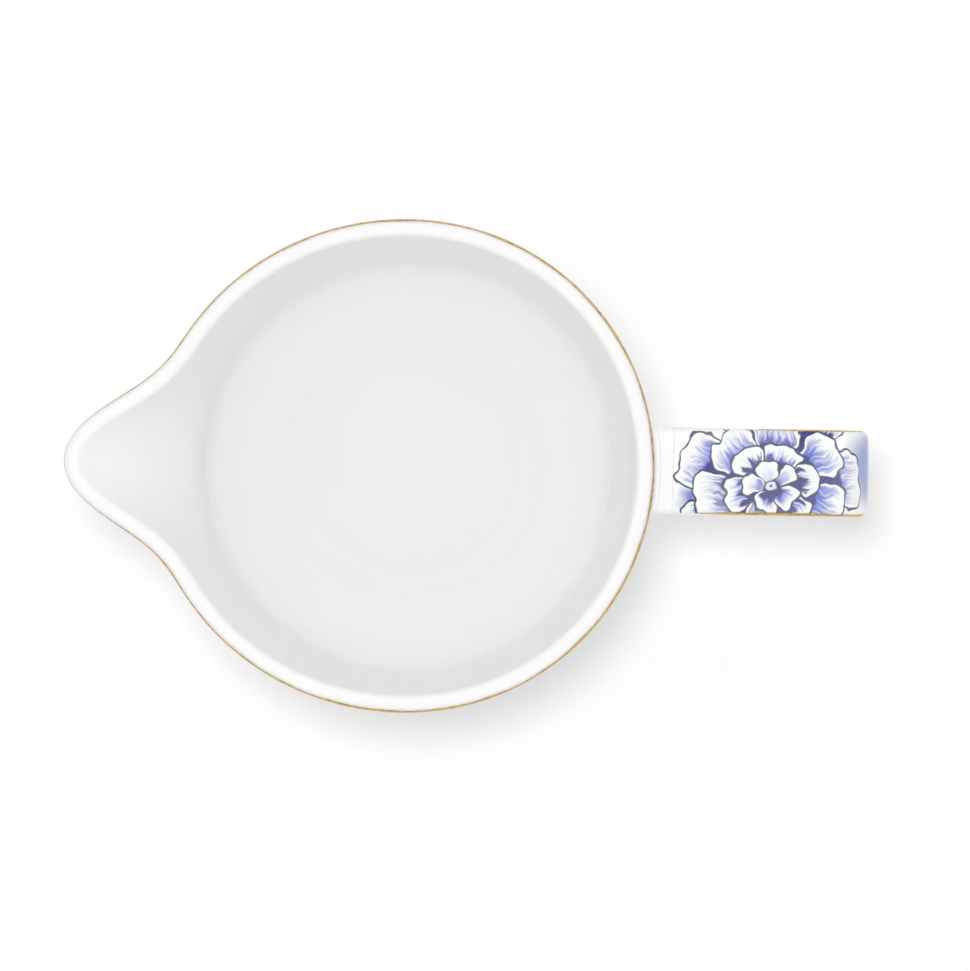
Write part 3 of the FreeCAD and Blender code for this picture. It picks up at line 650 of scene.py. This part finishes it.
def print_section():
    """The strap's outer face from one rounded edge to the other, with a back just under the surface."""
    half_w, half_t = STRAP_WIDTH / 2 - STRAP_EDGE, STRAP_THICK / 2 - STRAP_EDGE
    radius = STRAP_EDGE + PRINT_LIFT
    section = []
    for turn in np.linspace(PRINT_ROUND, math.pi / 2, 7):
        section.append((half_w + radius * math.cos(turn), half_t + radius * math.sin(turn)))
    for y in np.linspace(half_w, -half_w, 14)[1:-1]:
        section.append((y, half_t + radius + STRAP_CROWN * (1 - (y / half_w) ** 2)))
    section += [(-y, out) for y, out in section[6::-1]]
    back = [(y * 0.99, out - 2.5 * PRINT_LIFT) for y, out in section[::-1]]
    return np.array(section + back)


section = print_section()
travels = np.arange(PRINT_START, travel_last + 0.5 * MM, 0.5 * MM)
print_rows = [on_strap(travel, section) for travel in travels]
film = grid_mesh(
    "peony_print", print_rows, low_centre=print_rows[0].mean(axis=0), high_centre=print_rows[-1].mean(axis=0)
)
face_line = np.array([row[len(section) // 4] for row in print_rows])
stretches = np.linalg.norm(np.diff(face_line, axis=0), axis=1)
along = np.concatenate([[0], np.cumsum(stretches)]) / MM
across = section[:, 0] / MM
canvas_map = film.data.uv_layers.new(name="canvas")
for loop in film.data.loops:
    row, column = divmod(loop.vertex_index, len(section))
    if row < len(along):
        canvas_map.data[loop.index].uv = (along[row], across[column])
    else:   # the middle points of the two ends
        canvas_map.data[loop.index].uv = (along[-1] * (column % 2), 0)


def after_paint(tree, given):
    """The canvas place, tied to the paint under it by a nothing, so that the layers are laid one by one."""
    nothing = (1e-7, 1e-7, 1e-7)
    inputs = {0: given["Under"], 1: nothing, 2: given["Canvas"]}
    return node(tree, "ShaderNodeVectorMath", inputs, operation="MULTIPLY_ADD")


# One petal painted over what is under it. Lengths are in millimetres on the flat print.
tree, given = new_group(
    "painted_petal",
    [("Under", "Color", WHITE), ("Canvas", "Vector", None), ("Middle", "Vector", None),
     ("Angle", "Float", 0.0), ("Root", "Float", 1.0), ("Reach", "Float", 5.0),
     ("Width", "Float", 4.0), ("Wash", "Float", 0.5), ("Hollow", "Float", 0.0)],
    [("Color", "Color")],
)
spot = after_paint(tree, given)
moved = node(tree, "ShaderNodeVectorMath", {0: spot, 1: given["Middle"]}, operation="SUBTRACT")
back = calc(tree, "MULTIPLY", given["Angle"], -1.0)
turned = node(tree, "ShaderNodeVectorRotate", {"Vector": moved, "Angle": back}, rotation_type="Z_AXIS")
split = node(tree, "ShaderNodeSeparateXYZ", {"Vector": turned})
out, side = split, split.node.outputs["Y"]
length = calc(tree, "SUBTRACT", given["Reach"], given["Root"])
share = calc(tree, "DIVIDE", calc(tree, "SUBTRACT", out, given["Root"]), length)
from_centre = calc(tree, "MULTIPLY_ADD", share, 2.0, -1.0)
narrowing = calc(tree, "MULTIPLY_ADD", from_centre, -0.26, 1.1)
half_width = calc(tree, "MULTIPLY", given["Width"], 0.5)
half_side = calc(tree, "DIVIDE", calc(tree, "MULTIPLY", side, narrowing), half_width)
PETAL_POWER = 2.4    # 2 would be an ellipse; more is squarer
powers = [calc(tree, "POWER", calc(tree, "ABSOLUTE", way), PETAL_POWER) for way in (from_centre, half_side)]
inward = calc(tree, "SUBTRACT", 1.0, calc(tree, "POWER", calc(tree, "ADD", *powers), 1 / PETAL_POWER))
mean_half = calc(tree, "MULTIPLY", calc(tree, "ADD", length, given["Width"]), 0.25)
inward = calc(tree, "MULTIPLY", inward, mean_half)
streak_place = node(tree, "ShaderNodeVectorMath", {0: turned, 1: (0.3, 2.3, 1.0)}, operation="MULTIPLY")
streak_place = node(tree, "ShaderNodeVectorMath", {0: streak_place, 1: given["Middle"]}, operation="ADD")
streak = node(tree, "ShaderNodeTexNoise", {"Vector": streak_place, "Scale": 1.0, "Detail": 2.0})
ragged = calc(tree, "MULTIPLY_ADD", calc(tree, "SUBTRACT", streak, 0.5), 0.9, share)
margin = between(tree, inward, 0.25, 1.0)
wash = calc(tree, "MULTIPLY", between(tree, ragged, 0.2, 0.95, 1.0, 0.0), margin)
wash = calc(tree, "MULTIPLY", wash, given["Wash"], clamp=True)
colour = tint(tree, between(tree, wash, 0.0, 0.5), WHITE, PALE)
colour = tint(tree, between(tree, wash, 0.3, 1.0), colour, BLUE)
near_root = between(tree, ragged, 0.38, 0.58, 1.0, 0.0)
deep = calc(tree, "MULTIPLY", near_root, between(tree, inward, 0.35, 0.65))
colour = tint(tree, calc(tree, "MULTIPLY", deep, given["Hollow"]), colour, COBALT)
colour = tint(tree, between(tree, inward, -0.04, 0.08), given["Under"], colour)
line = between(tree, calc(tree, "ABSOLUTE", inward), 0.09, 0.22, 0.95, 0.0)
close_group(tree, {"Color": tint(tree, line, colour, NAVY)})
petal_group = tree

# A soft patch of one colour, for the deep gaps between petals and for loose washes.
tree, given = new_group(
    "soft_patch",
    [("Under", "Color", WHITE), ("Canvas", "Vector", None), ("Middle", "Vector", None),
     ("Colour", "Color", COBALT), ("Size", "Float", 1.0), ("Softness", "Float", 0.2)],
    [("Color", "Color")],
)
spot = after_paint(tree, given)
distance = node(tree, "ShaderNodeVectorMath", {0: spot, 1: given["Middle"]}, "Value", operation="DISTANCE")
inner = calc(tree, "SUBTRACT", given["Size"], given["Softness"])
cover = between(tree, distance, inner, calc(tree, "ADD", given["Size"], given["Softness"]), 1.0, 0.0)
close_group(tree, {"Color": tint(tree, cover, given["Under"], given["Colour"])})
patch_group = tree


def patch(tree, under, canvas, middle, size, colour=COBALT, softness=0.3):
    inputs = {"Under": under, "Canvas": canvas, "Middle": middle, "Colour": colour}
    inputs |= {"Size": size, "Softness": softness}
    return use_group(tree, patch_group, inputs)["Color"]


def ring_place(middle, angle, distance):
    return (middle[0] + distance * math.cos(angle), middle[1] + distance * math.sin(angle), 0)


def paint_peony(tree, under, canvas, middle, size, rings, turn):
    """Rings of petals from the outermost in, each ring laid over the roots of the one outside it."""
    middle = (*middle, 0)
    for number, (count, first, root, reach, width, washes, hollows) in enumerate(rings):
        first = math.radians(first + turn)
        if number:
            for i in range(count):
                gap_place = ring_place(middle, first + (i + 0.5) * 2 * math.pi / count, reach * size * 0.78)
                under = patch(tree, under, canvas, gap_place, width * size * 0.26)
        for i in range(count):
            uneven = 1 + 0.07 * math.sin(2.3 * i + number)
            under = use_group(tree, petal_group, {
                "Under": under, "Canvas": canvas, "Middle": middle, "Angle": first + i * 2 * math.pi / count,
                "Root": root * size, "Reach": reach * size * uneven, "Width": width * size / uneven,
                "Wash": washes[i % len(washes)], "Hollow": hollows[i % len(hollows)],
            })["Color"]
    under = patch(tree, under, canvas, ring_place(middle, -0.6, 0.45 * size), 1.75 * size, COBALT, 0.5)
    under = patch(tree, under, canvas, middle, 1.3 * size, NAVY, 0.12)
    under = patch(tree, under, canvas, middle, 1.08 * size, srgb(226, 228, 244), 0.15)
    return patch(tree, under, canvas, middle, 0.34 * size, NAVY, 0.16)


# count, first angle, root, reach, width, washes, hollows; the outermost ring comes first
BIG_PEONY = [
    (7, 6, 9.5, 15.8, 11.0, (0.8, 0.6, 0.9), (0.0, 1.0, 0.0)),
    (7, 34, 5.6, 12.4, 8.8, (1.0, 0.8, 1.0, 0.6), (0.0, 0.5)),
    (6, 12, 2.6, 7.9, 6.4, (0.5, 1.0, 0.3, 1.0), (1.0, 0.6, 1.0)),
    (5, 36, 0.9, 4.7, 4.0, (0.5, 0.3, 0.7, 1.0, 1.0), (0.0, 0.0, 0.3, 1.0)),
]
SMALL_PEONY = [
    (7, 20, 5.4, 11.8, 8.4, (0.9, 0.4, 0.7), (0.0, 0.7)),
    (5, 50, 2.0, 7.2, 6.4, (0.3, 0.9), (0.9, 0.2)),
    (5, 10, 0.7, 4.4, 3.8, (0.5, 0.1, 0.9), (0.0, 0.3)),
]

print_glaze, tree, shader = new_material("peony_print", 0.08, IOR=1.52)
face_place = node(tree, "ShaderNodeUVMap", uv_map="canvas")
hand = node(tree, "ShaderNodeTexNoise", {"Vector": face_place, "Scale": 0.34, "Detail": 1.0}, "Color")
shift = node(tree, "ShaderNodeVectorMath", {0: hand, 1: (0.5, 0.5, 0.5)}, operation="SUBTRACT")
shift = node(tree, "ShaderNodeVectorMath", {0: shift, 1: (2.6, 2.6, 0.0)}, operation="MULTIPLY")
canvas = node(tree, "ShaderNodeVectorMath", {0: face_place, 1: shift}, operation="ADD")
ink = patch(tree, WHITE, canvas, (3.6, -4.8, 0), 2.1, srgb(120, 134, 200), 1.3)
ink = patch(tree, ink, canvas, (36.8, 1.0, 0), 6.2, srgb(150, 160, 214), 2.6)
ink = patch(tree, ink, canvas, (44.0, -6.5, 0), 3.0, srgb(128, 140, 196), 1.4)
ink = paint_peony(tree, ink, canvas, (54.0, 1.6), 0.95, SMALL_PEONY, 15)
ink = paint_peony(tree, ink, canvas, (17.0, -2.5), 1.0, BIG_PEONY, 0)
surface = use_group(tree, glaze_group, {"Body": ink})
link(tree, surface["Color"], shader.inputs["Base Color"])
link(tree, surface["Roughness"], shader.inputs["Roughness"])
add_bump(tree, shader, surface["Height"], 0.000012)
film.data.materials.append(print_glaze)
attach(film, "root")
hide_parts("handle_print")

# ---------------------------------------------------------------------------------------------------
# The table and the light: a white sheet under a pale sky that is dimmer low down and straight overhead,
# and one soft lamp nearly overhead, a little to the back left. The camera looks straight down.
# ---------------------------------------------------------------------------------------------------
SHEET_SIZE = 4.0
sheet_mesh = bpy.data.meshes.new("white_sheet")
half = SHEET_SIZE / 2
corners = [(-half, -half, 0), (half, -half, 0), (half, half, 0), (-half, half, 0)]
sheet_mesh.from_pydata(corners, [], [(0, 1, 2, 3)])
white_sheet = bpy.data.objects.new("white_sheet", sheet_mesh)
scene = bpy.context.scene
scene.collection.objects.link(white_sheet)
paper, tree, shader = new_material("white_paper", 0.7)
place = node(tree, "ShaderNodeTexCoord", output="Object")
fibre = node(tree, "ShaderNodeTexNoise", {"Vector": place, "Scale": 900.0})
link(tree, tint(tree, fibre, srgb(243, 243, 243), srgb(247, 247, 247)), shader.inputs["Base Color"])
shader.inputs["Emission Color"].default_value = (1, 1, 1, 1)
shader.inputs["Emission Strength"].default_value = 0.06   # the sheet is lit a little from below
sheet_mesh.materials.append(paper)

world = bpy.data.worlds.new("white_room")
world.use_nodes = True
tree = world.node_tree
way = node(tree, "ShaderNodeTexCoord", output="Generated")
skyward = node(tree, "ShaderNodeSeparateXYZ", {"Vector": way}, "Z")
rising = between(tree, skyward, 0.4, 0.6, 0.5, 0.96)
overhead = between(tree, skyward, 0.89, 0.96, 0.0, -0.7)
link(tree, calc(tree, "ADD", rising, overhead), tree.nodes["Background"].inputs["Strength"])
tree.nodes["Background"].inputs["Color"].default_value = (1, 1, 1, 1)
scene.world = world
scene.view_settings.view_transform = "Standard"

LAMP_PLACE, LAMP_SIZE, LAMP_POWER = (-0.07, 0.11, 2.0), 0.25, 12.0
lamp_data = bpy.data.lights.new("soft_lamp", "AREA")
lamp_data.shape = "DISK"
lamp_data.size = LAMP_SIZE
lamp_data.energy = LAMP_POWER
lamp = bpy.data.objects.new("soft_lamp", lamp_data)
lamp.location = LAMP_PLACE
lamp.rotation_mode = "QUATERNION"
lamp.rotation_quaternion = lamp.location.to_track_quat("Z", "Y")
lamp.visible_glossy = False
scene.collection.objects.link(lamp)

CAMERA_HEIGHT, VIEW_WIDTH, VIEW_TURN = 1.5, 164.6 * MM, math.radians(1.0)
AHEAD, ASIDE = 13.07 * MM, -3.31 * MM   # the middle of the view from the vessel's axis
camera_data = bpy.data.cameras.new("overhead")
camera_data.lens = camera_data.sensor_width * (CAMERA_HEIGHT - RIM_HEIGHT) / VIEW_WIDTH
camera = bpy.data.objects.new("overhead", camera_data)
camera.location = (
    AHEAD * math.cos(VIEW_TURN) - ASIDE * math.sin(VIEW_TURN),
    AHEAD * math.sin(VIEW_TURN) + ASIDE * math.cos(VIEW_TURN),
    CAMERA_HEIGHT,
)
camera.rotation_euler = (0, 0, VIEW_TURN)
scene.collection.objects.link(camera)
scene.camera = camera
